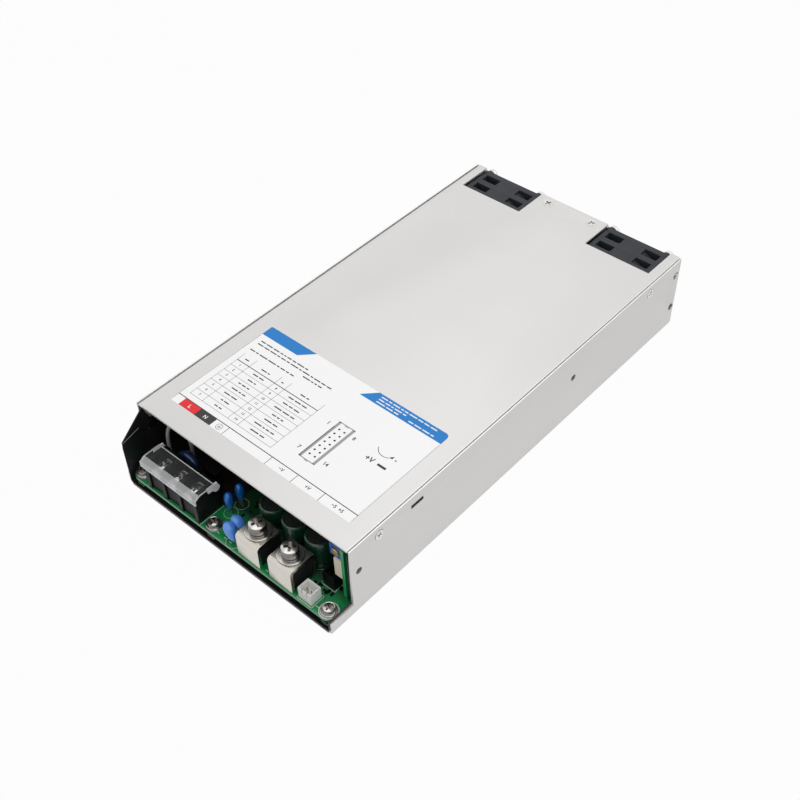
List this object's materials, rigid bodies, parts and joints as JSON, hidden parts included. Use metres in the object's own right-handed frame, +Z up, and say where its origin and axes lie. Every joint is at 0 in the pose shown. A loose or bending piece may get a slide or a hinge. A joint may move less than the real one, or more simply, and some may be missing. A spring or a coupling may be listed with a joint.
{
  "type": "switching power supply",
  "caption": "Enclosed low-profile AC/DC power supply: folded metal case with screwed cover and rear fans, AC terminal block under a clear flap, screwed output brackets and signal connectors.",
  "frame": {"origin": "centre of the base underside", "axes": "+Y along the case from the terminals to the fans, +X towards the output side, +Z up"},
  "size_m": [0.127, 0.2514, 0.0411],
  "materials": {
    "case_metal": "satin grey sheet",
    "label_paper": "printed film",
    "black_film": "smooth film",
    "board_green": "solder resist",
    "screw_steel": "zinc plated",
    "nickel": "bright plating",
    "brass": "satin",
    "black_plastic": "moulded",
    "clear_plastic": "clear moulding",
    "white_plastic": "moulded",
    "ivory_plastic": "moulded",
    "blue_plastic": "moulded",
    "deep_blue_coat": "dipped coat",
    "light_blue_coat": "dipped coat",
    "ferrite": "sintered",
    "copper": "enamelled wire",
    "yellow_plastic": "moulded",
    "grey_sleeve": "sleeving",
    "green_sleeve": "shrink sleeve",
    "dark_sleeve": "shrink sleeve",
    "heatsink_metal": "extruded",
    "fan_plastic": "moulded",
    "lead_sleeve": "sleeving"
  },
  "bodies": {
    "case": {"chassis": "case_metal", "top_cover": "case_metal", "rating_label": "label_paper", "cover_top_screws": "screw_steel", "cover_side_screws": "screw_steel", "insulation_sheet": "black_film", "main_board": "board_green", "board_standoffs": "brass", "board_screws": "screw_steel", "ac_terminal_body": "black_plastic", "ac_terminal_clamps": "nickel", "ac_terminal_screws": "nickel", "output_bracket_negative": "nickel", "output_bracket_positive": "nickel", "output_flat_washers": "nickel", "output_spring_washers": "nickel", "output_screws": "nickel", "output_nuts": "nickel", "sense_socket": "white_plastic", "sense_pins": "brass", "signal_header": "white_plastic", "signal_pins": "brass", "control_board": "board_green", "control_connector": "ivory_plastic", "control_chips": "black_plastic", "adjuster_body": "blue_plastic", "suppression_capacitors": "deep_blue_coat", "bypass_capacitors": "light_blue_coat", "input_fuse": "black_plastic", "surge_varistor": "deep_blue_coat", "input_choke_core": "ferrite", "input_choke_windings": "copper", "x_capacitors": "yellow_plastic", "inrush_relay": "black_plastic", "jumper_wire": "grey_sleeve", "primary_heatsink": "heatsink_metal", "secondary_heatsink": "heatsink_metal", "bridge_rectifier": "black_plastic", "primary_transistors": "black_plastic", "secondary_transistors": "black_plastic", "boost_inductor_core": "ferrite", "boost_inductor_winding": "copper", "bulk_capacitors": "dark_sleeve", "output_capacitors": "green_sleeve", "transformer_core": "ferrite", "transformer_winding": "yellow_plastic", "output_choke_core": "ferrite", "output_choke_winding": "copper", "fan_stators": "copper", "fan_guards": "screw_steel", "fan_screws": "screw_steel", "fan_plugs": "white_plastic", "fan_leads": "lead_sleeve", "fan_frame_left": "fan_plastic", "fan_frame_right": "fan_plastic"},
    "terminal_cover": {"ac_terminal_cover": "clear_plastic"},
    "fan_rotor_left": {"fan_rotor_left": "fan_plastic"},
    "fan_rotor_right": {"fan_rotor_right": "fan_plastic"},
    "adjuster_rotor": {"adjuster_rotor": "white_plastic"}
  },
  "joints": [
    {"name": "terminal_cover_hinge", "type": "hinge", "parent": "case", "child": "terminal_cover", "pos_m": [-0.03295, -0.1116, 0.021], "axis": [-1, 0, 0], "range_deg": [0, 100]},
    {"name": "fan_left_spin", "type": "hinge", "parent": "case", "child": "fan_rotor_left", "pos_m": [-0.0389, 0.1128, 0.0207], "axis": [0, 1, 0], "continuous": true},
    {"name": "fan_right_spin", "type": "hinge", "parent": "case", "child": "fan_rotor_right", "pos_m": [0.0389, 0.1128, 0.0207], "axis": [0, 1, 0], "continuous": true},
    {"name": "adjuster_turn", "type": "hinge", "parent": "case", "child": "adjuster_rotor", "pos_m": [0.054, -0.1094, 0.0326], "axis": [0, -1, 0], "range_deg": [-120, 120]}
  ]
}
